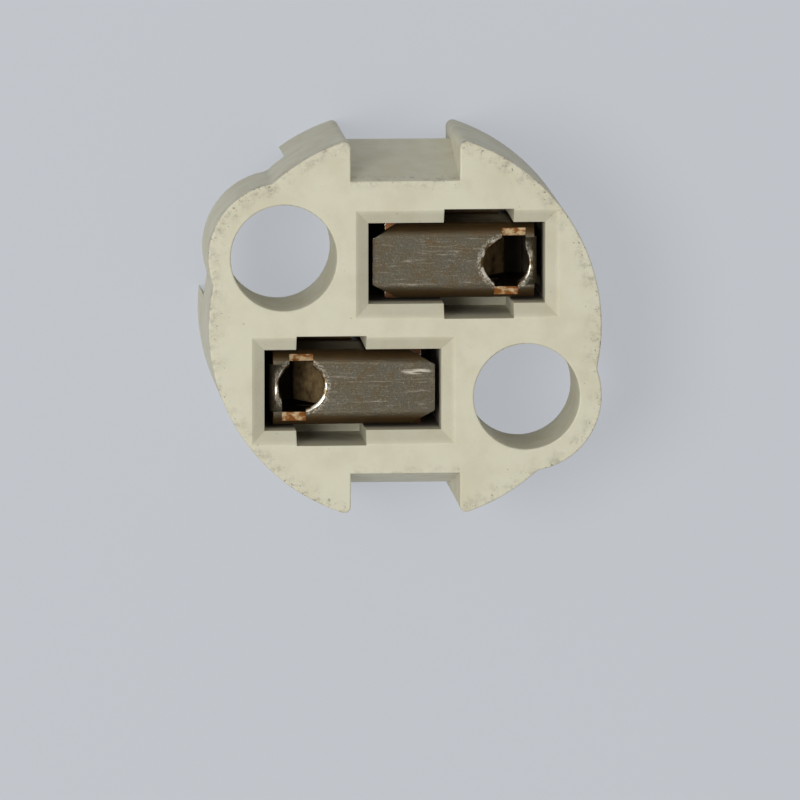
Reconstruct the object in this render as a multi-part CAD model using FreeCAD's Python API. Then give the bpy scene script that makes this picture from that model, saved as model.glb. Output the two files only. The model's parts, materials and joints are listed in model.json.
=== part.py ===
"""Ceramic lamp holder with two pin contacts, for screw or clip fixing.

Lengths are in millimetres. The origin is the centre of the flat back face.
+Z runs along the lamp axis and out of the front face, and +Y points through
the middle of one clip notch. Every feature repeats after a half turn about Z.
Each contact is drawn about the middle of its well, with its pin end at +X.
"""
import FreeCAD, Part
import math
import os

# Contact wells
well_length = 8.1
well_width = 3.72
well_x = 2.38                # middle of the right well from the lamp axis
well_y = 2.90
mouth_chamfer = 0.60         # width of the sloping lead-in
mouth_depth = 0.42
pocket_width = 3.2           # pockets in both long walls, for the contact tabs
pocket_shift = 1.0           # middle of a pocket from the middle of the well
pocket_reach = 0.66          # how far a pocket cuts into the long wall
rear_pocket_depth = 3.4      # back face to the roof of the rear pocket
tab_shoulder = 0.6           # ceramic between the two pockets, which a tab hooks under
well_back = 1.2              # ceramic that closes the back of a well
lead_opening_width = 2.5     # opening through that back, for the tail and its lead
lead_opening_depth = 1.96    # from the long wall that the tail lies against

# Ceramic disc, as large as the wells and their walls need
body_thickness = 9.0
rim_wall = 0.16              # ceramic between the corner of a mouth and the rim
edge_rounding = 0.08         # front edges, softened by pressing and firing
tip_rounding = 0.30          # corners where a notch meets the rim

# Ears with the fixing holes
hole_radius = 2.43
hole_end_wall = 0.86         # fixing hole to the short side of one mouth
hole_side_wall = 1.24        # fixing hole to the long side of the other mouth
ear_wall = 1.02              # ceramic left outside a fixing hole
ear_thickness = 5.1          # measured back from the front face
ear_blend = 0.60             # concave blend from an ear into the disc
relief_margin = 1.67         # room round the hole behind an ear, for a nut
relief_well_wall = 0.80      # ceramic left between that room and a well

# Clip notches
notch_width = 5.0
notch_wall = 1.36            # ceramic between a mouth and the floor of a notch
ramp_rise = 1.26             # how far the floor climbs towards the back
ridge_depth = 6.2            # front face to the ridge that a clip hooks over
hook_slope = 0.45            # length of the steep side behind the ridge

# Contact, folded from plated copper sheet
sheet = 0.36
bend_inner = 0.29            # bends along the two long edges
end_bend_inner = 0.24        # bend over the pin end
web_depth = 1.05             # front face to the outside of the web
side_clearance = 0.13        # contact to each long wall of the well
pin_end_clearance = 0.30     # contact to the short wall beside the pin
tab_end_clearance = 0.25     # contact to the other short wall
side_end_gap = 0.15          # side walls stop short of the folded end
end_wall_height = 4.4
tongue_end_width = 2.1       # plain end of the web, between its corner cuts
corner_cut = 1.2             # length of each corner cut along the web
side_setback = 0.6           # side walls start this far behind the plain end

# Pin entry
entry_radius = 1.05
entry_from_end = 1.43        # middle of the entry to the folded end
entry_shift = -0.08          # entry sits a little towards the lamp axis
lead_in = 0.14
entry_slot_width = 1.1       # slots that let the entry spring open
entry_slot_reach = 1.22      # middle of the entry to the end of a slot, under the web
slot_end_angle = 60.0        # lean of the slot ends, from upright
outer_slot_shift = 0.34      # slot away from the lamp axis sits nearer the folded end
weld_mark_radius = 0.90
weld_mark_depth = 0.03
weld_mark_x = -1.10

# Tabs that hold the contact in its well
tab_width = 2.6
tab_reach = 0.38             # out from the side wall
tab_window = 0.5             # height of the opening that a tab is bent out of
lock_clearance = 0.06        # tab to the roof of the rear pocket

# Terminal tail for a lead
tail_width = 2.0
tail_x = -2.1
tail_end = 0.1               # back face to the end of the tail
tail_eye_radius = 0.5

# Grip spring, welded under the web
spring_thickness = 0.22
spring_side_gap = 0.13       # leaf to each bend of the contact
spring_start = -2.2
spring_flat = 2.5            # length welded under the web
spring_knee_radius = 0.33    # inside of the bend where it turns down
spring_slope = 58.0          # slope of the leaf that meets the pin
spring_leaf = 3.1
spring_curl_radius = 0.38    # inside of the curl at its end
spring_curl_angle = 88.0
spring_lip = 0.6

# Values that follow from the ones above
BEYOND = 1.0                 # how far a cutting shape runs past a face
TOUCHING = 1e-3              # features closer than this meet
mouth_length = well_length + 2 * mouth_chamfer
mouth_width = well_width + 2 * mouth_chamfer
body_radius = rim_wall + math.hypot(well_x + mouth_length / 2, well_y + mouth_width / 2)
notch_floor = well_y + mouth_width / 2 + notch_wall
hole_x = well_x - mouth_length / 2 - hole_end_wall - hole_radius
hole_y = mouth_width / 2 - well_y + hole_side_wall + hole_radius
ear_radius = hole_radius + ear_wall
relief_radius = hole_radius + relief_margin
ear_back = body_thickness - ear_thickness
pocket_floor = rear_pocket_depth + tab_shoulder
web_top = body_thickness - web_depth
half_contact = well_width / 2 - side_clearance
pin_end = well_length / 2 - pin_end_clearance
plain_end = tab_end_clearance - well_length / 2
bend_outer = sheet + bend_inner
bend_height = web_top - bend_outer
half_web = half_contact - bend_outer
end_fold = pin_end - sheet - end_bend_inner
entry_x = pin_end - entry_from_end
side_bottom = well_back      # the side walls stand on the back of the well
spring_width = 2 * (half_web - spring_side_gap)

Vector = FreeCAD.Vector
X = Vector(1, 0, 0)
Y = Vector(0, 1, 0)
Z = Vector(0, 0, 1)


def block(x_range, y_range, z_range):
    corner = Vector(x_range[0], y_range[0], z_range[0])
    size = Vector(x_range[1], y_range[1], z_range[1]) - corner
    return Part.makeBox(size.x, size.y, size.z, corner)


def rod(radius, x, y, z_range):
    return Part.makeCylinder(radius, z_range[1] - z_range[0], Vector(x, y, z_range[0]))


def half_turned(shape):
    turned = shape.copy()
    turned.rotate(Vector(), Z, 180)
    return turned


def cut_both_ways(shape, cutter):
    """Cut with a shape and with the same shape half a turn round the lamp axis."""
    return shape.cut(cutter).cut(half_turned(cutter))


def prism(corners, sweep):
    return Part.Face(Part.makePolygon(corners + corners[:1])).extrude(sweep)


def rectangle(length, width, z):
    corners = [Vector(x * length / 2, y * width / 2, z)
               for x, y in ((1, 1), (-1, 1), (-1, -1), (1, -1))]
    return Part.makePolygon(corners + corners[:1])


def bent_strip(start, heading, steps, thickness, across, origin, sweep):
    """Solid strip of sheet, bent in the plane of across and Z, then swept.

    start lies on the outer skin and heading is in degrees from across to Z.
    A step is (length,) for a flat, or (inner radius, angle) for a bend that
    turns clockwise, which is the side that the thickness lies on.
    """
    def place(point):
        return origin + across * point.x + Z * point.y

    def inward(angle):
        return Vector(math.sin(math.radians(angle)), -math.cos(math.radians(angle)), 0)

    skin = Vector(start[0], start[1], 0)
    outer_edges = []
    inner_edges = []
    caps = [(skin, skin + inward(heading) * thickness)]
    for step in steps:
        if len(step) == 1:
            ahead = skin + Vector(-inward(heading).y, inward(heading).x, 0) * step[0]
            depth = inward(heading) * thickness
            outer_edges.append(Part.makeLine(place(skin), place(ahead)))
            inner_edges.append(Part.makeLine(place(skin + depth), place(ahead + depth)))
            skin = ahead
        else:
            radius, turn = step
            centre = skin + inward(heading) * (thickness + radius)
            angles = (heading, heading - turn / 2, heading - turn)
            for edges, reach in ((outer_edges, thickness + radius), (inner_edges, radius)):
                arc = [place(centre - inward(angle) * reach) for angle in angles]
                edges.append(Part.Arc(*arc).toShape())
            heading -= turn
            skin = centre - inward(heading) * (thickness + radius)
    caps.append((skin, skin + inward(heading) * thickness))
    ends = [Part.makeLine(place(outside), place(inside)) for outside, inside in caps]
    outline = Part.Wire(Part.__sortEdges__(outer_edges + inner_edges + ends))
    return Part.Face(outline).extrude(sweep)


def vertical_edges(shape, wanted):
    """Straight edges along Z whose position passes the test."""
    return [edge for edge in shape.Edges
            if edge.Curve.TypeId == "Part::GeomLine"
            and abs(edge.tangentAt(edge.FirstParameter).z) > 0.999
            and wanted(edge.CenterOfMass)]


def disc_with_ears():
    disc = rod(body_radius, 0, 0, (0, body_thickness))
    ear = rod(ear_radius, hole_x, hole_y, (ear_back, body_thickness))
    body = disc.fuse([ear, half_turned(ear)]).removeSplitter()

    def between_ear_and_disc(point):
        on_disc = abs(math.hypot(point.x, point.y) - body_radius) < TOUCHING
        on_ear = any(abs(math.hypot(point.x - side * hole_x, point.y - side * hole_y)
                         - ear_radius) < TOUCHING for side in (1, -1))
        return on_disc and on_ear

    return body.makeFillet(ear_blend, vertical_edges(body, between_ear_and_disc))


def relief_behind_ear():
    """Room for a nut behind an ear, kept clear of the walls of both wells."""
    beside_well = well_x - well_length / 2 - relief_well_wall
    above_well = relief_well_wall - (well_y - well_width / 2)
    outside = body_radius + relief_radius
    room = block((-outside, beside_well), (above_well, outside), (-BEYOND, ear_back))
    return rod(relief_radius, hole_x, hole_y, (-BEYOND, ear_back)).common(room)


def notch():
    """Notch with a ramped floor, a ridge for the clip and a hook behind it."""
    ridge = body_thickness - ridge_depth
    outside = body_radius + BEYOND
    profile = ((notch_floor, body_thickness + BEYOND),
               (notch_floor, body_thickness),
               (notch_floor + ramp_rise, ridge),
               (notch_floor, ridge - hook_slope),
               (notch_floor, -BEYOND),
               (outside, -BEYOND),
               (outside, body_thickness + BEYOND))
    corners = [Vector(-notch_width / 2, y, z) for y, z in profile]
    return prism(corners, X * notch_width)


def well():
    """Well with a sloping mouth, closed at the back but for the lead opening."""
    throat = block((-well_length / 2, well_length / 2), (-well_width / 2, well_width / 2),
                   (well_back, body_thickness + BEYOND))
    lead_opening = block((tail_x - lead_opening_width / 2, tail_x + lead_opening_width / 2),
                         (-well_width / 2, lead_opening_depth - well_width / 2),
                         (-BEYOND, well_back + BEYOND))
    mouth = Part.makeLoft([
        rectangle(well_length, well_width, body_thickness - mouth_depth),
        rectangle(mouth_length, mouth_width, body_thickness)], True, True)
    shape = throat.fuse([lead_opening, mouth])
    shape.translate(Vector(well_x, well_y, 0))
    return shape


def pockets():
    """Front and rear pockets in both long walls, with a shoulder left between them."""
    along = (pocket_shift - pocket_width / 2, pocket_shift + pocket_width / 2)
    across = (-well_width / 2 - pocket_reach, well_width / 2 + pocket_reach)
    front = block(along, across, (pocket_floor, body_thickness + BEYOND))
    rear = [block(along, wall, (-BEYOND, rear_pocket_depth))
            for wall in ((across[0], -well_width / 2), (well_width / 2, across[1]))]
    shape = front.fuse(rear)
    shape.translate(Vector(well_x, well_y, 0))
    return shape


def ceramic_body():
    body = cut_both_ways(disc_with_ears(), relief_behind_ear())
    body = cut_both_ways(body, notch())

    def notch_tip(point):
        return (abs(abs(point.x) - notch_width / 2) < TOUCHING
                and math.hypot(point.x, point.y) > body_radius - TOUCHING)

    body = body.makeFillet(tip_rounding, vertical_edges(body, notch_tip))
    body = cut_both_ways(body, rod(hole_radius, hole_x, hole_y,
                                   (-BEYOND, body_thickness + BEYOND)))
    body = cut_both_ways(body, well()).removeSplitter()
    front = max((face for face in body.Faces if face.BoundBox.ZMin > body_thickness - TOUCHING),
                key=lambda face: face.Area)
    return cut_both_ways(body.makeFillet(edge_rounding, front.Edges), pockets())


def folded_sheet():
    """Channel with a web, two side walls and one end folded down."""
    rise = bend_height - side_bottom
    channel = bent_strip((-half_contact, side_bottom), 90,
                         [(rise,), (bend_inner, 90), (2 * half_web,),
                          (bend_inner, 90), (rise,)],
                         sheet, Y, X * plain_end, X * (end_fold - plain_end))
    folded_end = bent_strip((end_fold, web_top), 0,
                            [(end_bend_inner, 90), (end_wall_height,)],
                            sheet, X, Y * -half_web, Y * 2 * half_web)
    between = block((end_fold, pin_end), (-half_web, half_web), (0, web_top + BEYOND))
    past_fold = bent_strip((-half_contact, side_bottom), 90,
                           [(rise,), (bend_inner, 90), (2 * half_web,),
                            (bend_inner, 90), (rise,)],
                           sheet, Y, X * end_fold, X * (pin_end - side_end_gap - end_fold))
    return channel.fuse([folded_end, past_fold.cut(between)])


def corner_relief():
    """Corner cuts at the plain end, and the setback of the side wall below."""
    past_end = plain_end - BEYOND
    past_side = half_contact + BEYOND
    slope = (half_contact - tongue_end_width / 2) / corner_cut
    corners = [Vector(past_end, tongue_end_width / 2 - slope * BEYOND, bend_height),
               Vector(plain_end + corner_cut + BEYOND / slope, past_side, bend_height),
               Vector(past_end, past_side, bend_height)]
    wedge = prism(corners, Z * (bend_outer + BEYOND))
    wall_end = block((past_end, plain_end + side_setback),
                     (half_contact - bend_outer, past_side),
                     (side_bottom - BEYOND, bend_height))
    return wedge.fuse(wall_end)


def entry_cutter():
    """Round pin entry with a slot each way, whose ends lean outwards."""
    bottom = web_top - sheet
    top = web_top + BEYOND
    hole = rod(entry_radius, entry_x, entry_shift, (bottom - BEYOND, top))
    lead = Part.makeCone(entry_radius, entry_radius + lead_in, lead_in,
                         Vector(entry_x, entry_shift, web_top - lead_in))
    lean = math.tan(math.radians(slot_end_angle))
    slots = []
    for side, shift in ((1, outer_slot_shift), (-1, 0)):
        start = entry_x + shift - entry_slot_width / 2
        underside = entry_shift + side * entry_slot_reach
        corners = [Vector(start, y, z) for y, z in (
            (entry_shift, bottom - entry_slot_reach / lean),
            (underside + side * (top - bottom) * lean, top),
            (entry_shift, top))]
        slots.append(prism(corners, X * entry_slot_width))
    return hole.fuse([lead] + slots)


def contact():
    """One piece of folded sheet: box, tabs, pin entry and terminal tail."""
    tab_x = (pocket_shift - tab_width / 2, pocket_shift + tab_width / 2)
    lock_top = rear_pocket_depth - lock_clearance
    tail_x_range = (tail_x - tail_width / 2, tail_x + tail_width / 2)
    tail_round = tail_width / 2
    across = (-half_contact, sheet - half_contact)

    tail = block(tail_x_range, across, (tail_end + tail_round, side_bottom + tail_round))
    tail_tip = Part.makeCylinder(tail_round, sheet,
                                 Vector(tail_x, -half_contact, tail_end + tail_round), Y)
    eye = Part.makeCylinder(tail_eye_radius, sheet + 2 * BEYOND,
                            Vector(tail_x, -half_contact - BEYOND, tail_end + tail_round), Y)
    tabs = [block(tab_x, reach, (lock_top - sheet, lock_top))
            for reach in ((half_contact - sheet, half_contact + tab_reach),
                          (-half_contact - tab_reach, sheet - half_contact))]
    windows = block(tab_x, (-half_contact - BEYOND, half_contact + BEYOND),
                    (lock_top, lock_top + tab_window))
    corners = corner_relief()
    weld_mark = rod(weld_mark_radius, weld_mark_x, 0,
                    (web_top - weld_mark_depth, web_top + BEYOND))

    shape = folded_sheet().fuse([tail, tail_tip])
    shape = shape.cut([windows, corners, corners.mirror(Vector(), Y),
                       entry_cutter(), eye, weld_mark])
    return shape.fuse(tabs).removeSplitter()


def grip_spring():
    """Leaf that presses the lamp pin against the folded end of the contact."""
    return bent_strip((spring_start, web_top - sheet), 0,
                      [(spring_flat,), (spring_knee_radius, spring_slope), (spring_leaf,),
                       (spring_curl_radius, spring_curl_angle), (spring_lip,)],
                      spring_thickness, X, Y * (-spring_width / 2), Y * spring_width)


def in_wells(shape):
    """Place a shape in the right well, and its copy in the left one."""
    right = shape.copy()
    right.translate(Vector(well_x, well_y, 0))
    return right, half_turned(right)


def main():
    pieces = {"ceramic_body": ceramic_body()}
    pieces["contact_right"], pieces["contact_left"] = in_wells(contact())
    pieces["grip_spring_right"], pieces["grip_spring_left"] = in_wells(grip_spring())
    os.makedirs("parts", exist_ok=True)
    for name, shape in pieces.items():
        shape.exportStep("parts/" + name + ".step")
        print(name, len(shape.Solids), shape.isValid(), round(shape.Volume, 3))


main()
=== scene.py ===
"""Finishes and studio for the ceramic lamp holder, laid out as an add-on.

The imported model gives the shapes. This script softens their edges, sorts the
cut edges of the sheet from its plated skin, and gives each piece its finish.
"""

import json
import math

import bmesh
import bpy
from mathutils import Matrix, Vector
from mathutils.bvhtree import BVHTree


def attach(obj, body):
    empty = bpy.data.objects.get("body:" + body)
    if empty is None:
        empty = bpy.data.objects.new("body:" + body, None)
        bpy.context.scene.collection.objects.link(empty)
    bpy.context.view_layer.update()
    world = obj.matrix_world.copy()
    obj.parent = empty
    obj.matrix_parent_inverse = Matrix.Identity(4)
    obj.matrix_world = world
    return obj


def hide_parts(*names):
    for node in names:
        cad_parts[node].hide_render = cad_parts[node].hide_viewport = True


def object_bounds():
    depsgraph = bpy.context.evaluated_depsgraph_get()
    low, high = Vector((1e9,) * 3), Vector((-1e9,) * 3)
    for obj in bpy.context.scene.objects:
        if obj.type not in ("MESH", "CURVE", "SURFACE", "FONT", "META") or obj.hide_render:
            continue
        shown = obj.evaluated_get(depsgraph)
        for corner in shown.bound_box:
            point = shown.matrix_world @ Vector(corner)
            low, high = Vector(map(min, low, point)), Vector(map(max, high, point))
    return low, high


bl_info = {
    "name": "Ceramic Lamp Holder",
    "version": (1, 0, 0),
    "blender": (4, 5, 0),
    "location": "View3D > Sidebar > Lamp Holder",
    "description": "Finishes a two-pin ceramic lamp holder and sets up its studio",
    "category": "Object",
}

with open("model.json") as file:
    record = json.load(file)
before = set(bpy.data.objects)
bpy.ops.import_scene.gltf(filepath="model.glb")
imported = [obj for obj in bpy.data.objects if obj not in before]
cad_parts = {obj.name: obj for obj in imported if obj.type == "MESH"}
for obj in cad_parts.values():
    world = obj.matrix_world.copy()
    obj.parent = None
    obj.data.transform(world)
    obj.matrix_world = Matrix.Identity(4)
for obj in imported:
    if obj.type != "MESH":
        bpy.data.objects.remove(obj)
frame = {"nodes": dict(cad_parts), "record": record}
CAD_LOW, CAD_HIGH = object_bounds()

MM = 0.001
BODY = "root"
MOUNTS = {mount["name"]: mount for mount in frame["record"]["mounts"]}
EAR_CENTRE = Vector(MOUNTS["screw_hole_right"]["pos_m"])
EAR_RADIUS = CAD_HIGH.x - EAR_CENTRE.x
FACE_HEIGHT = CAD_HIGH.z


def box_of(node):
    """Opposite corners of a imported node, which stands at the origin unturned."""
    corners = [Vector(corner) for corner in frame["nodes"][node].bound_box]
    return (Vector(map(min, zip(*corners))), Vector(map(max, zip(*corners))))


# The contacts, right then left
SIDES = ("right", "left")
CONTACT_BOXES = [box_of("contact_" + side) for side in SIDES]
WEB_HEIGHT = CONTACT_BOXES[0][1].z
WELL_OFFSET = (CONTACT_BOXES[0][0].y + CONTACT_BOXES[0][1].y) / 2
MOUTH_MARGIN = (0.9, 0.36, 0)     # mm from a contact's box to the edge of its mouth
WELL_MARGIN = (0.5, -0.2, 0)      # mm from a contact's box to inside its well's walls

# Pin entries
PIN_ENTRIES = [Vector(MOUNTS["pin_entry_" + side]["pos_m"]) for side in SIDES]
COINED_RADIUS = 1.25 * MM         # outside of the leaning rim round an entry
COINED_DEPTH = 0.15 * MM
BURR_RADIUS = 1.24 * MM           # middle of the rubbed ring beside that rim
CRISP_RADIUS = 1.75 * MM          # edges nearer an entry than this aren't rounded

# Weld marks on the webs, and the bright scuff on the left one
WELD_RADIUS = 0.9 * MM
WELD_MARK_RIGHT = (CONTACT_BOXES[0][0] + CONTACT_BOXES[0][1]) / 2 - Vector((1.07, 0, 0)) * MM
WELD_MARKS = [WELD_MARK_RIGHT, -WELD_MARK_RIGHT]
SCUFF = Vector((CONTACT_BOXES[1][1].x - 0.85 * MM, WELD_MARKS[1].y + 0.75 * MM, WEB_HEIGHT))

# Limits for working the meshes
MERGE_DISTANCE = 0.0005 * MM
FLAT_ANGLE = math.radians(0.4)
SHARP_ANGLE = math.radians(40)

# Studio, in metres
KEY_PLACE = Vector((-0.125, 0.012, 0.275))
KEY_SIZE = 0.13
FLOOR_REACH = 3.0
FLOOR_GAP = 0.01 * MM

# Sockets of a Mix node that blends colours
MIX_FACTOR, MIX_A, MIX_B, MIX_RESULT = 0, 6, 7, 2


def hex_colour(code):
    """Linear RGBA of an sRGB colour written as six hex digits."""
    channels = [int(code[start:start + 2], 16) / 255 for start in (0, 2, 4)]
    linear = [value / 12.92 if value <= 0.04045 else ((value + 0.055) / 1.055) ** 2.4
              for value in channels]
    return (*linear, 1.0)


def colour_property(name, description, code):
    """Colour that the panel shows, given as sRGB hex."""
    return bpy.props.FloatVectorProperty(name=name, description=description, size=4,
                                         subtype="COLOR", min=0, max=1,
                                         default=hex_colour(code))


def length_property(name, description, millimetres):
    """Length that the panel shows, given in millimetres."""
    return bpy.props.FloatProperty(name=name, description=description, unit="LENGTH",
                                   min=0, precision=5, default=millimetres * MM)


class LampHolderCeramic(bpy.types.PropertyGroup):
    """Unglazed steatite body."""
    ivory: colour_property("Ivory", "Clean fired steatite", "D4D0B8")
    ivory_shade: colour_property("Ivory shade", "Slightly darker patches", "CEC8AE")
    grime: colour_property("Grime", "Handling dirt caught along the edges", "564C3E")
    # Painted shade: the colour the ceramic darkens towards down the wells and in their mouths,
    # where shade falls
    well_shade: colour_property("Soot", "Brown stain down in the contact wells", "453019")
    disc_radius: length_property("Disc radius", "Radius of the round disc", 9.0)
    notch_floor: length_property("Notch floor", "Lamp axis to the floor of a notch", 6.72)
    notch_half: length_property("Notch half", "Half the width of a notch", 2.5)
    grain: length_property("Grain", "Grain of the pressed powder", 0.09)
    mottle: length_property("Mottle", "Size of the darker patches", 1.6)
    speck: length_property("Speck", "Size of the dark specks", 0.17)
    smear: length_property("Smear", "Size of the smears along the rim", 0.6)
    stretch: length_property("Stretch", "Length of clean and soiled stretches of rim", 3.2)
    wave: length_property("Wave", "Size of the soft waves left by pressing", 0.8)
    edge: length_property("Edge", "Width of the softened edges", 0.035)


class LampHolderMetal(bpy.types.PropertyGroup):
    """Folded contacts and their springs."""
    plating: colour_property("Plating", "Tarnished nickel plate", "575244")
    tarnish: colour_property("Tarnish", "Brown oxide in the bends", "5F4A2E")
    copper: colour_property("Copper", "Bare copper of the cut edges", "9C6230")
    # Painted highlight: the colour of the glints painted into the cut edges
    painted_copper_glint: colour_property("Copper glint", "Copper where it catches light", "F4D3A0")
    # Also the colour of the painted glints on the flat of the web
    bright: colour_property("Bright", "Plate rubbed bright at the edges", "E6DCC8")
    spring: colour_property("Spring", "Heat-tinted spring strip", "B89C70")
    # Painted shade: cut edges down in a well take this darker colour, where shade falls
    shaded_copper: colour_property("Deep copper", "Cut edges dulled down in a well", "4E3320")
    sheet: length_property("Sheet", "Thickness of the contact sheet", 0.36)
    flat_half: length_property("Flat half", "Half the width of the flat of the web", 1.05)
    bend: length_property("Bend", "Width of each bend, seen from the front", 0.5)
    edge: length_property("Edge", "Width of the rubbed edges", 0.055)
    streak: length_property("Streak", "Width of the rolling streaks", 0.1)
    pit: length_property("Pit", "Size of the small pits", 0.07)
    cloud: length_property("Cloud", "Size of the clouds of tarnish", 0.8)
    tear: length_property("Tear", "Width of the tear marks in a cut edge", 0.3)
    wear: length_property("Wear", "Length of the worn places on an edge", 0.5)


class LampHolderStage(bpy.types.PropertyGroup):
    """Floor, lights and camera."""
    floor: colour_property("Floor", "Pale floor and background", "C8CCD2")
    lens: bpy.props.FloatProperty(name="Lens", description="Focal length in millimetres",
                                  unit="CAMERA", default=600.0, min=50.0)
    view_width: length_property("View width", "Width of the view at the front face", 36.53)
    offset_right: length_property("Offset right", "Lamp axis to the middle of the view", 0.25)
    offset_up: length_property("Offset up", "Lamp axis to the middle of the view", 3.31)
    tilt: bpy.props.FloatProperty(name="Tilt", description="Camera above the lamp axis",
                                  subtype="ANGLE", default=math.radians(7.6))
    turn: bpy.props.FloatProperty(name="Turn", description="Camera left of the lamp axis",
                                  subtype="ANGLE", default=math.radians(4.0))
    key: bpy.props.FloatProperty(name="Key", description="Power of the main light",
                                 unit="POWER", default=0.49, min=0)
    fill: bpy.props.FloatProperty(name="Fill", description="Strength of the ambient light",
                                  default=0.41, min=0)
    bounce: bpy.props.FloatProperty(name="Bounce", subtype="FACTOR", min=0, max=1,
                                    default=0.85,
                                    description="Share of the light the floor returns")
    glow: bpy.props.FloatProperty(name="Glow", subtype="FACTOR", min=0, max=1, default=0.7,
                                  description="Share of the floor shown as its own colour")
    ambient: colour_property("Ambient", "Colour of the ambient light", "FFFFFF")


def add_node(tree, kind, inputs=None, output=0, **settings):
    """Add a node, set its options, set or link its inputs, and return one output."""
    node = tree.nodes.new(kind)
    for name, value in settings.items():
        setattr(node, name, value)
    for key, value in (inputs or {}).items():
        if isinstance(value, bpy.types.NodeSocket):
            tree.links.new(value, node.inputs[key])
        else:
            node.inputs[key].default_value = value
    return node.outputs[output] if node.outputs else None


def new_material(name):
    """Empty node material, and its tree."""
    material = bpy.data.materials.new(name)
    material.use_nodes = True
    material.node_tree.nodes.clear()
    return material, material.node_tree


def distance_in_plan(tree, place, centre):
    """Distance from a vertical line through a point, seen along the lamp axis."""
    flat = add_node(tree, "ShaderNodeVectorMath", {0: place, 1: (1, 1, 0)},
                    operation="MULTIPLY")
    return add_node(tree, "ShaderNodeVectorMath", {0: flat, 1: (centre.x, centre.y, 0)},
                    "Value", operation="DISTANCE")


def inside_rim(tree, place, disc_radius):
    """Depth of a place inside the outline of the disc and its two ears."""
    depth = add_node(tree, "ShaderNodeMath",
                     {0: disc_radius, 1: distance_in_plan(tree, place, Vector())},
                     operation="SUBTRACT")
    for side in (1, -1):
        in_ear = add_node(tree, "ShaderNodeMath",
                          {0: EAR_RADIUS, 1: distance_in_plan(tree, place, EAR_CENTRE * side)},
                          operation="SUBTRACT")
        depth = add_node(tree, "ShaderNodeMath", {0: depth, 1: in_ear}, operation="MAXIMUM")
    return depth


def handled_edge(tree, place, finish):
    """Mask along the rim and the notches, within a little of the front face."""
    depth = inside_rim(tree, place, finish.disc_radius)
    by_rim = add_node(tree, "ShaderNodeMapRange",
                      {"Value": depth, "From Min": 1.0 * MM, "From Max": 0.0},
                      interpolation_type="SMOOTHSTEP")
    sides = add_node(tree, "ShaderNodeVectorMath", {0: place}, operation="ABSOLUTE")
    across = add_node(tree, "ShaderNodeSeparateXYZ", {0: sides}, "X")
    outward = add_node(tree, "ShaderNodeSeparateXYZ", {0: sides}, "Y")
    across = add_node(tree, "ShaderNodeMath", {0: across, 1: finish.notch_half},
                      operation="LESS_THAN")
    by_notch = add_node(tree, "ShaderNodeMapRange",
                        {"Value": outward, "From Min": finish.notch_floor - 0.5 * MM,
                         "From Max": finish.notch_floor, "To Max": 0.8},
                        interpolation_type="SMOOTHSTEP")
    by_notch = add_node(tree, "ShaderNodeMath", {0: by_notch, 1: across},
                        operation="MULTIPLY")
    edge = add_node(tree, "ShaderNodeMath", {0: by_rim, 1: by_notch}, operation="MAXIMUM")
    height = add_node(tree, "ShaderNodeSeparateXYZ", {0: place}, "Z")
    near_face = add_node(tree, "ShaderNodeMapRange",
                         {"Value": height, "From Min": FACE_HEIGHT - 1.3 * MM,
                          "From Max": FACE_HEIGHT - 0.1 * MM},
                         interpolation_type="SMOOTHSTEP")
    edge = add_node(tree, "ShaderNodeMath", {0: edge, 1: near_face}, operation="MULTIPLY")
    stretches = add_node(tree, "ShaderNodeTexNoise",
                         {"Vector": place, "Scale": 1 / finish.stretch, "Detail": 2.0})
    stretches = add_node(tree, "ShaderNodeMapRange",
                         {"Value": stretches, "From Min": 0.42, "From Max": 0.58,
                          "To Min": 0.7}, interpolation_type="SMOOTHSTEP")
    return add_node(tree, "ShaderNodeMath", {0: edge, 1: stretches}, operation="MULTIPLY")


def in_wells(tree, place, margin, clean_height, full_height, strength):
    """Mask over both wells that grows with depth, a margin wider than the contacts."""
    height = add_node(tree, "ShaderNodeSeparateXYZ", {0: place}, "Z")
    deep = add_node(tree, "ShaderNodeMapRange",
                    {"Value": height, "From Min": clean_height, "From Max": full_height,
                     "To Max": strength}, interpolation_type="SMOOTHSTEP")
    covered = 0.0
    for low, high in CONTACT_BOXES:
        middle = (low + high) / 2
        reach = (high - low) / 2 + Vector(margin) * MM
        offset = add_node(tree, "ShaderNodeVectorMath", {0: place, 1: tuple(middle)},
                          operation="SUBTRACT")
        offset = add_node(tree, "ShaderNodeVectorMath", {0: offset}, operation="ABSOLUTE")
        inside = deep
        for axis in "XY":
            apart = add_node(tree, "ShaderNodeSeparateXYZ", {0: offset}, axis)
            within = add_node(tree, "ShaderNodeMath",
                              {0: apart, 1: getattr(reach, axis.lower())},
                              operation="LESS_THAN")
            inside = add_node(tree, "ShaderNodeMath", {0: inside, 1: within},
                              operation="MULTIPLY")
        covered = add_node(tree, "ShaderNodeMath", {0: covered, 1: inside},
                           operation="MAXIMUM")
    return covered


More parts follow.
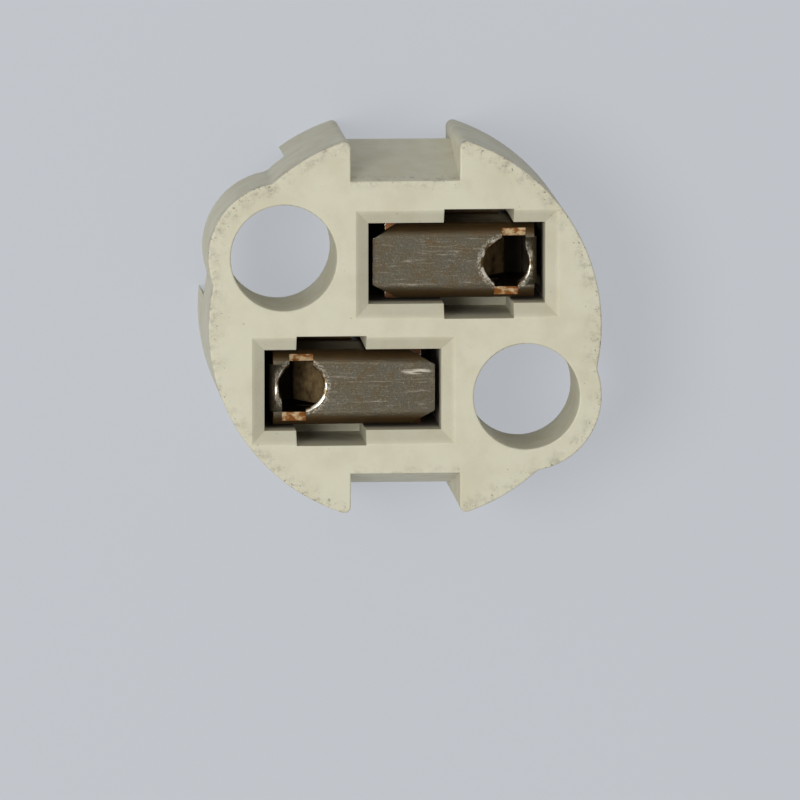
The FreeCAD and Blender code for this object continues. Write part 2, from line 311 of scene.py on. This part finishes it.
def steatite(finish):
    """Steatite, dry pressed and fired without a glaze: matt, dense and ivory.

    Its grain gives a soft sheen, its edges hold handling dirt, and shade is painted into it
    down the wells and in their mouths.
    """
    material, tree = new_material("steatite_unglazed")
    place = add_node(tree, "ShaderNodeTexCoord", output="Object")
    edge = handled_edge(tree, place, finish)

    patches = add_node(tree, "ShaderNodeTexNoise",
                       {"Vector": place, "Scale": 1 / finish.mottle, "Detail": 4.0,
                        "Roughness": 0.6})
    patches = add_node(tree, "ShaderNodeMapRange",
                       {"Value": patches, "From Min": 0.35, "From Max": 0.68},
                       interpolation_type="SMOOTHSTEP")
    colour = add_node(tree, "ShaderNodeMix",
                      {MIX_FACTOR: patches, MIX_A: finish.ivory, MIX_B: finish.ivory_shade},
                      MIX_RESULT, data_type="RGBA")

    specks = add_node(tree, "ShaderNodeTexNoise",
                      {"Vector": place, "Scale": 1 / finish.speck, "Detail": 3.0,
                       "Roughness": 0.6})
    specks = add_node(tree, "ShaderNodeMath", {0: edge, 1: 0.11, 2: specks},
                      operation="MULTIPLY_ADD")
    specks = add_node(tree, "ShaderNodeMapRange",
                      {"Value": specks, "From Min": 0.69, "From Max": 0.77, "To Max": 0.65},
                      interpolation_type="SMOOTHSTEP")
    colour = add_node(tree, "ShaderNodeMix",
                      {MIX_FACTOR: specks, MIX_A: colour, MIX_B: finish.grime},
                      MIX_RESULT, data_type="RGBA")

    smears = add_node(tree, "ShaderNodeTexNoise",
                      {"Vector": place, "Scale": 1 / finish.smear, "Detail": 6.0,
                       "Roughness": 0.75})
    smears = add_node(tree, "ShaderNodeMapRange",
                      {"Value": smears, "From Min": 0.45, "From Max": 0.72, "To Max": 0.6},
                      interpolation_type="SMOOTHSTEP")
    smears = add_node(tree, "ShaderNodeMath", {0: smears, 1: edge}, operation="MULTIPLY")
    colour = add_node(tree, "ShaderNodeMix",
                      {MIX_FACTOR: smears, MIX_A: colour, MIX_B: finish.grime},
                      MIX_RESULT, data_type="RGBA")
    # Painted shade: the mouths darken a little near the face, and the wells darken more with
    # depth
    mouths = in_wells(tree, place, MOUTH_MARGIN, FACE_HEIGHT - 0.01 * MM,
                      FACE_HEIGHT - 0.15 * MM, 0.11)
    wells = in_wells(tree, place, WELL_MARGIN, WEB_HEIGHT + 0.2 * MM,
                     WEB_HEIGHT - 1.2 * MM, 0.85)
    for shading in (mouths, wells):
        colour = add_node(tree, "ShaderNodeMix",
                          {MIX_FACTOR: shading, MIX_A: colour, MIX_B: finish.well_shade},
                          MIX_RESULT, data_type="RGBA")

    # Pressed powder grains are about 0.03 mm, drawn three times as coarse to show
    grain = add_node(tree, "ShaderNodeTexNoise",
                     {"Vector": place, "Scale": 1 / finish.grain, "Detail": 3.0,
                      "Roughness": 0.6})
    waves = add_node(tree, "ShaderNodeTexNoise",
                     {"Vector": place, "Scale": 1 / finish.wave, "Detail": 2.0})
    relief = add_node(tree, "ShaderNodeMath", {0: waves, 1: 1.5, 2: grain},
                      operation="MULTIPLY_ADD")
    bump = add_node(tree, "ShaderNodeBump",
                    {"Strength": 0.35, "Distance": 0.012 * MM, "Height": relief})
    sheen = add_node(tree, "ShaderNodeMapRange",
                     {"Value": waves, "From Min": 0.3, "From Max": 0.7, "To Min": 0.48,
                      "To Max": 0.62}, interpolation_type="SMOOTHSTEP")
    dull = add_node(tree, "ShaderNodeMath", {0: wells, 1: 0.5, 2: sheen},
                    operation="MULTIPLY_ADD", use_clamp=True)
    shader = add_node(tree, "ShaderNodeBsdfPrincipled",
                      {"Base Color": colour, "Roughness": dull, "IOR": 1.58,
                       "Subsurface Weight": 0.2, "Subsurface Radius": (1.0, 0.75, 0.45),
                       "Subsurface Scale": 0.5 * MM, "Normal": bump})
    add_node(tree, "ShaderNodeOutputMaterial", {"Surface": shader})
    return material


def bend_of_web(tree, place, finish):
    """Mask that rises over the two bends beside the flat of each contact."""
    beside = add_node(tree, "ShaderNodeSeparateXYZ", {0: place}, "Y")
    beside = add_node(tree, "ShaderNodeMath", {0: beside}, operation="ABSOLUTE")
    beside = add_node(tree, "ShaderNodeMath", {0: beside, 1: WELL_OFFSET},
                      operation="SUBTRACT")
    beside = add_node(tree, "ShaderNodeMath", {0: beside}, operation="ABSOLUTE")
    return add_node(tree, "ShaderNodeMapRange",
                    {"Value": beside, "From Min": finish.flat_half,
                     "From Max": finish.flat_half + finish.bend},
                    interpolation_type="SMOOTHSTEP")


def scuff_mark(tree, place, streaks):
    """Mask of the short bright scuff on the left contact."""
    scuff = add_node(tree, "ShaderNodeVectorMath", {0: place, 1: tuple(SCUFF)},
                     operation="SUBTRACT")
    scuff = add_node(tree, "ShaderNodeVectorMath", {0: scuff, 1: (0.22, 1.0, 0.0)},
                     operation="MULTIPLY")
    scuff = add_node(tree, "ShaderNodeVectorMath", {0: scuff}, "Value", operation="LENGTH")
    scuff = add_node(tree, "ShaderNodeMapRange",
                     {"Value": scuff, "From Min": 0.18 * MM, "From Max": 0.08 * MM},
                     interpolation_type="SMOOTHSTEP")
    broken = add_node(tree, "ShaderNodeMapRange",
                      {"Value": streaks, "From Min": 0.42, "From Max": 0.56, "To Max": 0.6},
                      interpolation_type="SMOOTHSTEP")
    return add_node(tree, "ShaderNodeMath", {0: scuff, 1: broken}, operation="MULTIPLY")


def ring_on_web(tree, place, centre, radius, width, pattern, share):
    """Mask of a ring on the web, broken up by a pattern."""
    ring = add_node(tree, "ShaderNodeMath",
                    {0: distance_in_plan(tree, place, centre), 1: radius},
                    operation="SUBTRACT")
    ring = add_node(tree, "ShaderNodeMath", {0: ring}, operation="ABSOLUTE")
    ring = add_node(tree, "ShaderNodeMapRange",
                    {"Value": ring, "From Min": width, "From Max": 0.3 * width},
                    interpolation_type="SMOOTHSTEP")
    broken = add_node(tree, "ShaderNodeMapRange",
                      {"Value": pattern, "From Min": 0.45, "From Max": 0.6,
                       "To Max": share}, interpolation_type="SMOOTHSTEP")
    return add_node(tree, "ShaderNodeMath", {0: ring, 1: broken}, operation="MULTIPLY")


def tarnished_plate(finish):
    """Nickel plate on rolled copper sheet, gone grey-brown.

    The flat is dull and scratched along the sheet, with glints painted on it as bright specks,
    and the bends are brown.
    """
    material, tree = new_material("nickel_plate_tarnished")
    place = add_node(tree, "ShaderNodeTexCoord", output="Object")
    # Rolling lines are about 0.02 mm wide and pits as small, both drawn coarser to show
    along = add_node(tree, "ShaderNodeMapping", {"Vector": place, "Scale": (0.09, 1.0, 1.0)})
    streaks = add_node(tree, "ShaderNodeTexNoise",
                       {"Vector": along, "Scale": 1 / finish.streak, "Detail": 5.0,
                        "Roughness": 0.7})
    pits = add_node(tree, "ShaderNodeTexNoise",
                    {"Vector": place, "Scale": 1 / finish.pit, "Detail": 3.0,
                     "Roughness": 0.7})
    cloud = add_node(tree, "ShaderNodeTexNoise",
                     {"Vector": place, "Scale": 1 / finish.cloud, "Detail": 5.0,
                      "Roughness": 0.65})

    in_bend = bend_of_web(tree, place, finish)
    brown = add_node(tree, "ShaderNodeMapRange",
                     {"Value": cloud, "From Min": 0.42, "From Max": 0.72, "To Max": 0.5},
                     interpolation_type="SMOOTHSTEP")
    brown = add_node(tree, "ShaderNodeMath", {0: in_bend, 1: 0.9, 2: brown},
                     operation="MULTIPLY_ADD", use_clamp=True)
    colour = add_node(tree, "ShaderNodeMix",
                      {MIX_FACTOR: brown, MIX_A: finish.plating, MIX_B: finish.tarnish},
                      MIX_RESULT, data_type="RGBA")

    open_skin = add_node(tree, "ShaderNodeMapRange",
                         {"Value": in_bend, "From Min": 0.7, "From Max": 0.0},
                         interpolation_type="SMOOTHSTEP")
    # The streaks are plate rubbed bright by wear; the bright pit specks are painted glints,
    # painted highlights on the flat
    for pattern, share in ((streaks, 0.22), (pits, 0.16)):
        bright = add_node(tree, "ShaderNodeMapRange",
                          {"Value": pattern, "From Min": 0.54, "From Max": 0.72,
                           "To Max": share}, interpolation_type="SMOOTHSTEP")
        bright = add_node(tree, "ShaderNodeMath", {0: bright, 1: open_skin},
                          operation="MULTIPLY")
        colour = add_node(tree, "ShaderNodeMix",
                          {MIX_FACTOR: bright, MIX_A: colour, MIX_B: finish.bright},
                          MIX_RESULT, data_type="RGBA")
    pitting = add_node(tree, "ShaderNodeMapRange",
                       {"Value": pits, "From Min": 0.44, "From Max": 0.30, "To Max": 0.7},
                       interpolation_type="SMOOTHSTEP")
    colour = add_node(tree, "ShaderNodeMix",
                      {MIX_FACTOR: pitting, MIX_A: colour, MIX_B: finish.tarnish},
                      MIX_RESULT, data_type="RGBA")
    colour = add_node(tree, "ShaderNodeMix",
                      {MIX_FACTOR: scuff_mark(tree, place, streaks), MIX_A: colour,
                       MIX_B: finish.bright}, MIX_RESULT, data_type="RGBA")
    for mark in WELD_MARKS:
        ring = ring_on_web(tree, place, mark, WELD_RADIUS, 0.10 * MM, cloud, 0.5)
        colour = add_node(tree, "ShaderNodeMix",
                          {MIX_FACTOR: ring, MIX_A: colour, MIX_B: finish.tarnish},
                          MIX_RESULT, data_type="RGBA")
    for entry in PIN_ENTRIES:
        burr = ring_on_web(tree, place, entry, BURR_RADIUS, 0.16 * MM, pits, 0.32)
        colour = add_node(tree, "ShaderNodeMix",
                          {MIX_FACTOR: burr, MIX_A: colour, MIX_B: finish.bright},
                          MIX_RESULT, data_type="RGBA")

    relief = add_node(tree, "ShaderNodeMath", {0: streaks, 1: cloud}, operation="ADD")
    relief = add_node(tree, "ShaderNodeMath", {0: relief, 1: pits}, operation="ADD")
    bump = add_node(tree, "ShaderNodeBump",
                    {"Strength": 0.8, "Distance": 0.014 * MM, "Height": relief})
    dullness = add_node(tree, "ShaderNodeMapRange",
                        {"Value": cloud, "From Min": 0.3, "From Max": 0.7, "To Min": 0.36,
                         "To Max": 0.52}, interpolation_type="SMOOTHSTEP")
    shader = add_node(tree, "ShaderNodeBsdfPrincipled",
                      {"Base Color": colour, "Roughness": dullness, "Metallic": 0.85,
                       "Normal": bump})
    add_node(tree, "ShaderNodeOutputMaterial", {"Surface": shader})
    return material


def cut_copper(finish):
    """Copper alloy bared by the press tool, torn and still bright, with glints painted into
    its colour as highlights.
    """
    material, tree = new_material("copper_cut_edge")
    place = add_node(tree, "ShaderNodeTexCoord", output="Object")
    along = add_node(tree, "ShaderNodeMapping", {"Vector": place, "Scale": (0.8, 1.0, 1.0)})
    # Tear marks are about 0.05 mm wide, drawn six times as coarse to show
    tears = add_node(tree, "ShaderNodeTexNoise",
                     {"Vector": along, "Scale": 1 / finish.tear, "Detail": 3.0,
                      "Roughness": 0.55})
    # Painted highlights: where the tear pattern runs high, the cut edges take the glint colour
    glint = add_node(tree, "ShaderNodeMapRange",
                     {"Value": tears, "From Min": 0.44, "From Max": 0.64, "To Max": 0.9},
                     interpolation_type="SMOOTHSTEP")
    colour = add_node(tree, "ShaderNodeMix",
                      {MIX_FACTOR: glint, MIX_A: finish.copper, MIX_B: finish.painted_copper_glint},
                      MIX_RESULT, data_type="RGBA")
    # Painted shade: the cut edges darken below the web, down in the well
    height = add_node(tree, "ShaderNodeSeparateXYZ", {0: place}, "Z")
    deep = add_node(tree, "ShaderNodeMapRange",
                    {"Value": height, "From Min": WEB_HEIGHT - 0.4 * MM,
                     "From Max": WEB_HEIGHT - 0.55 * MM}, interpolation_type="SMOOTHSTEP")
    colour = add_node(tree, "ShaderNodeMix",
                      {MIX_FACTOR: deep, MIX_A: colour, MIX_B: finish.shaded_copper},
                      MIX_RESULT, data_type="RGBA")
    bump = add_node(tree, "ShaderNodeBump",
                    {"Strength": 0.6, "Distance": 0.01 * MM, "Height": tears})
    shader = add_node(tree, "ShaderNodeBsdfPrincipled",
                      {"Base Color": colour, "Roughness": 0.38, "Metallic": 1.0,
                       "Normal": bump})
    add_node(tree, "ShaderNodeOutputMaterial", {"Surface": shader})
    return material


def rubbed_edge(finish):
    """Nickel plate rubbed bright where the sheet turns into its cut edge."""
    material, tree = new_material("nickel_plate_rubbed")
    place = add_node(tree, "ShaderNodeTexCoord", output="Object")
    wear = add_node(tree, "ShaderNodeTexNoise",
                    {"Vector": place, "Scale": 1 / finish.wear, "Detail": 4.0,
                     "Roughness": 0.6})
    wear = add_node(tree, "ShaderNodeMapRange",
                    {"Value": wear, "From Min": 0.42, "From Max": 0.6},
                    interpolation_type="SMOOTHSTEP")
    colour = add_node(tree, "ShaderNodeMix",
                      {MIX_FACTOR: wear, MIX_A: finish.tarnish, MIX_B: finish.bright},
                      MIX_RESULT, data_type="RGBA")
    shader = add_node(tree, "ShaderNodeBsdfPrincipled",
                      {"Base Color": colour, "Roughness": 0.28, "Metallic": 1.0})
    add_node(tree, "ShaderNodeOutputMaterial", {"Surface": shader})
    return material


def spring_strip(finish):
    """Rolled spring strip, tinted brown by heat, which dulls its shine."""
    material, tree = new_material("spring_strip_tinted")
    place = add_node(tree, "ShaderNodeTexCoord", output="Object")
    cloud = add_node(tree, "ShaderNodeTexNoise",
                     {"Vector": place, "Scale": 1 / finish.cloud, "Detail": 4.0,
                      "Roughness": 0.6})
    tint = add_node(tree, "ShaderNodeMapRange",
                    {"Value": cloud, "From Min": 0.35, "From Max": 0.7},
                    interpolation_type="SMOOTHSTEP")
    colour = add_node(tree, "ShaderNodeMix",
                      {MIX_FACTOR: tint, MIX_A: finish.spring, MIX_B: finish.tarnish},
                      MIX_RESULT, data_type="RGBA")
    bump = add_node(tree, "ShaderNodeBump",
                    {"Strength": 0.3, "Distance": 0.01 * MM, "Height": cloud})
    shader = add_node(tree, "ShaderNodeBsdfPrincipled",
                      {"Base Color": colour, "Roughness": 0.5, "Metallic": 0.6,
                       "Normal": bump})
    add_node(tree, "ShaderNodeOutputMaterial", {"Surface": shader})
    return material


def seen_directly(tree):
    """Mask of the rays that show the backdrop: from the camera, a gloss or a glass."""
    seen = 0.0
    for ray in ("Is Camera Ray", "Is Glossy Ray", "Is Transmission Ray"):
        seen = add_node(tree, "ShaderNodeMath",
                        {0: seen, 1: add_node(tree, "ShaderNodeLightPath", output=ray)},
                        operation="MAXIMUM")
    return seen


def plain_floor(stage):
    """Matt card that keeps a soft shadow and otherwise reads as its own colour."""
    material, tree = new_material("studio_floor")
    dimmed = tuple(channel * stage.bounce for channel in stage.floor[:3]) + (1.0,)
    matt = add_node(tree, "ShaderNodeBsdfDiffuse", {"Color": dimmed})
    glow = add_node(tree, "ShaderNodeEmission", {"Color": stage.floor, "Strength": 1.0})
    share = add_node(tree, "ShaderNodeMath", {0: seen_directly(tree), 1: stage.glow},
                     operation="MULTIPLY")
    mixed = add_node(tree, "ShaderNodeMixShader", {0: share, 1: matt, 2: glow})
    add_node(tree, "ShaderNodeOutputMaterial", {"Surface": mixed})
    return material


def merged_copy(node, name):
    """Named copy of a CAD node with its triangles joined, standing for the node."""
    mesh = bpy.data.meshes.new(name)
    form = bmesh.new()
    form.from_mesh(frame["nodes"][node].data)
    bmesh.ops.remove_doubles(form, verts=form.verts, dist=MERGE_DISTANCE)
    piece = bpy.data.objects.new(name, mesh)
    bpy.context.scene.collection.objects.link(piece)
    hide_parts(node)
    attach(piece, BODY)
    return piece, form


def join_flats(form):
    """Join the triangles of each flat face."""
    bmesh.ops.dissolve_limit(form, angle_limit=FLAT_ANGLE, verts=form.verts,
                             edges=form.edges)


def soften_edges(form, width, segments, crisp_at=None, crisp_radius=0.0):
    """Round the sharp edges between faces wide enough for it; return the new faces.

    Edges whose middle lies near crisp_at, seen along the lamp axis, stay crisp.
    """
    def wide(edge, face):
        return face.calc_area() > 1.6 * width * edge.calc_length()

    def crisp(edge):
        middle = (edge.verts[0].co + edge.verts[1].co) / 2
        return crisp_at is not None and (middle - crisp_at).xy.length < crisp_radius

    sharp = [edge for edge in form.edges
             if len(edge.link_faces) == 2 and edge.calc_face_angle() > SHARP_ANGLE
             and all(wide(edge, face) for face in edge.link_faces) and not crisp(edge)]
    made = bmesh.ops.bevel(form, geom=sharp, offset=width, offset_type="OFFSET",
                           affect="EDGES", segments=segments, profile=0.5, material=-1,
                           clamp_overlap=True)
    return made["faces"]


def close_form(piece, form, materials):
    """Write the worked form to its piece with smooth faces and these materials."""
    for face in form.faces:
        face.smooth = True
    form.to_mesh(piece.data)
    form.free()
    for material in materials:
        piece.data.materials.append(material)
    piece.data.set_sharp_from_angle(angle=SHARP_ANGLE)
    weighted = piece.modifiers.new("even_shading", "WEIGHTED_NORMAL")
    weighted.keep_sharp = True


class LAMPHOLDER_OT_dress_ceramic(bpy.types.Operator):
    """Soften the edges of the ceramic body and give it its unglazed finish"""
    bl_idname = "lamp_holder.dress_ceramic"
    bl_label = "Dress Ceramic"

    def execute(self, context):
        finish = context.scene.lamp_holder_ceramic
        piece, form = merged_copy("ceramic_body", "ceramic_body_finish")
        join_flats(form)
        soften_edges(form, finish.edge, 2)
        close_form(piece, form, [steatite(finish)])
        return {"FINISHED"}


def level_web(form, mark):
    """Bring the shallow weld mark up to the web, which shows it by its colour alone."""
    for vertex in form.verts:
        near = (vertex.co - mark).xy.length < 1.0 * MM
        if near and WEB_HEIGHT - vertex.co.z < 0.05 * MM:
            vertex.co.z = WEB_HEIGHT
    bmesh.ops.remove_doubles(form, verts=form.verts, dist=MERGE_DISTANCE)
    bmesh.ops.dissolve_degenerate(form, dist=MERGE_DISTANCE, edges=form.edges)


def sort_cut_edges(form, sheet, entry):
    """Sort skin from cut faces, which have more than the sheet's thickness behind them.

    The coined rim round the pin entry leans inwards and is rubbed bright.
    """
    tree = BVHTree.FromBMesh(form)
    start = 0.02 * sheet
    for face in form.faces:
        inward = -face.normal
        middle = face.calc_center_median()
        hit = tree.ray_cast(middle + inward * start, inward)
        thickness = hit[3] + start if hit[0] else 0.0
        from_entry = middle - entry
        leaning = 0.5 < face.normal.z < 0.9
        on_rim = (leaning and from_entry.length < COINED_RADIUS
                  and from_entry.z > -COINED_DEPTH)
        face.material_index = 2 if on_rim else 1 if thickness > 1.25 * sheet else 0


class LAMPHOLDER_OT_dress_contacts(bpy.types.Operator):
    """Give the folded contacts tarnished plate, copper cut edges and rubbed corners"""
    bl_idname = "lamp_holder.dress_contacts"
    bl_label = "Dress Contacts"

    def execute(self, context):
        finish = context.scene.lamp_holder_metal
        materials = [tarnished_plate(finish), cut_copper(finish), rubbed_edge(finish)]
        for side, mark, entry in zip(SIDES, WELD_MARKS, PIN_ENTRIES):
            node = "contact_" + side
            piece, form = merged_copy(node, node + "_finish")
            level_web(form, mark)
            join_flats(form)
            sort_cut_edges(form, finish.sheet, entry)
            for face in soften_edges(form, finish.edge, 2, entry, CRISP_RADIUS):
                face.material_index = 2
            close_form(piece, form, materials)
        return {"FINISHED"}


class LAMPHOLDER_OT_dress_springs(bpy.types.Operator):
    """Give the grip springs their tinted strip finish"""
    bl_idname = "lamp_holder.dress_springs"
    bl_label = "Dress Springs"

    def execute(self, context):
        finish = context.scene.lamp_holder_metal
        material = spring_strip(finish)
        for side in SIDES:
            node = "grip_spring_" + side
            piece, form = merged_copy(node, node + "_finish")
            join_flats(form)
            soften_edges(form, finish.edge, 2)
            close_form(piece, form, [material])
        return {"FINISHED"}


def soft_light(name, place, aim, size, power):
    """Round area light that faces a point."""
    lamp = bpy.data.lights.new(name, "AREA")
    lamp.shape = "DISK"
    lamp.size = size
    lamp.energy = power
    light = bpy.data.objects.new(name, lamp)
    light.location = place
    light.rotation_euler = (aim - place).to_track_quat("-Z", "Y").to_euler()
    bpy.context.scene.collection.objects.link(light)


class LAMPHOLDER_OT_set_stage(bpy.types.Operator):
    """Lay the floor, hang the lights and set the camera"""
    bl_idname = "lamp_holder.set_stage"
    bl_label = "Set Stage"

    def execute(self, context):
        scene = context.scene
        stage = scene.lamp_holder_stage
        self.lay_floor(scene, stage)
        middle = Vector((0, 0, FACE_HEIGHT / 2))
        soft_light("key_light", KEY_PLACE, middle, KEY_SIZE, stage.key)
        self.set_world(scene, stage)
        self.set_camera(scene, stage)
        scene.view_settings.view_transform = "Standard"
        return {"FINISHED"}

    def lay_floor(self, scene, stage):
        """One wide card just under the back of the holder."""
        mesh = bpy.data.meshes.new("floor")
        form = bmesh.new()
        bmesh.ops.create_grid(form, x_segments=1, y_segments=1, size=FLOOR_REACH,
                              matrix=Matrix.Translation((0, 0, -FLOOR_GAP)))
        form.to_mesh(mesh)
        form.free()
        mesh.materials.append(plain_floor(stage))
        floor = bpy.data.objects.new("floor", mesh)
        scene.collection.objects.link(floor)

    def set_world(self, scene, stage):
        """Even light from all round, and the floor's colour where it is seen."""
        world = bpy.data.worlds.new("studio")
        world.use_nodes = True
        tree = world.node_tree
        tree.nodes.clear()
        ambient = add_node(tree, "ShaderNodeBackground",
                           {"Color": stage.ambient, "Strength": stage.fill})
        backdrop = add_node(tree, "ShaderNodeBackground",
                            {"Color": stage.floor, "Strength": 1.0})
        mixed = add_node(tree, "ShaderNodeMixShader",
                         {0: seen_directly(tree), 1: ambient, 2: backdrop})
        add_node(tree, "ShaderNodeOutputWorld", {"Surface": mixed})
        scene.world = world

    def set_camera(self, scene, stage):
        """Long lens a little above and to the left of the lamp axis."""
        data = bpy.data.cameras.new("camera")
        data.lens = stage.lens
        data.clip_start = 0.01
        data.clip_end = 10.0
        camera = bpy.data.objects.new("camera", data)
        towards = Vector((-math.sin(stage.turn), math.sin(stage.tilt), 0))
        towards.z = math.sqrt(1 - towards.length_squared)
        up = (Vector((0, 1, 0)) - towards * towards.y).normalized()
        right = up.cross(towards)
        distance = stage.view_width * stage.lens / data.sensor_width
        camera.location = (Vector((0, 0, FACE_HEIGHT)) + towards * distance
                           - right * stage.offset_right - up * stage.offset_up)
        camera.rotation_euler = Matrix((right, up, towards)).transposed().to_euler()
        scene.collection.objects.link(camera)
        scene.camera = camera


class LAMPHOLDER_PT_panel(bpy.types.Panel):
    """Sizes, colours and steps of the lamp holder"""
    bl_label = "Lamp Holder"
    bl_idname = "LAMPHOLDER_PT_panel"
    bl_space_type = "VIEW_3D"
    bl_region_type = "UI"
    bl_category = "Lamp Holder"

    def draw(self, context):
        for name in SETTINGS:
            box = self.layout.box()
            group = getattr(context.scene, name)
            for field in group.__annotations__:
                box.prop(group, field)
        for step_class in STEPS:
            self.layout.operator(step_class.bl_idname)


SETTINGS = {
    "lamp_holder_ceramic": LampHolderCeramic,
    "lamp_holder_metal": LampHolderMetal,
    "lamp_holder_stage": LampHolderStage,
}
STEPS = (
    LAMPHOLDER_OT_dress_ceramic,
    LAMPHOLDER_OT_dress_contacts,
    LAMPHOLDER_OT_dress_springs,
    LAMPHOLDER_OT_set_stage,
)


def register():
    for new_class in (*SETTINGS.values(), *STEPS, LAMPHOLDER_PT_panel):
        bpy.utils.register_class(new_class)
    for name, group in SETTINGS.items():
        setattr(bpy.types.Scene, name, bpy.props.PointerProperty(type=group))


def unregister():
    for name in SETTINGS:
        delattr(bpy.types.Scene, name)
    for old_class in (LAMPHOLDER_PT_panel, *reversed(STEPS), *reversed(SETTINGS.values())):
        bpy.utils.unregister_class(old_class)


def main():
    register()
    bpy.ops.lamp_holder.dress_ceramic()
    bpy.ops.lamp_holder.dress_contacts()
    bpy.ops.lamp_holder.dress_springs()
    bpy.ops.lamp_holder.set_stage()


if __name__ == "__main__":
    main()
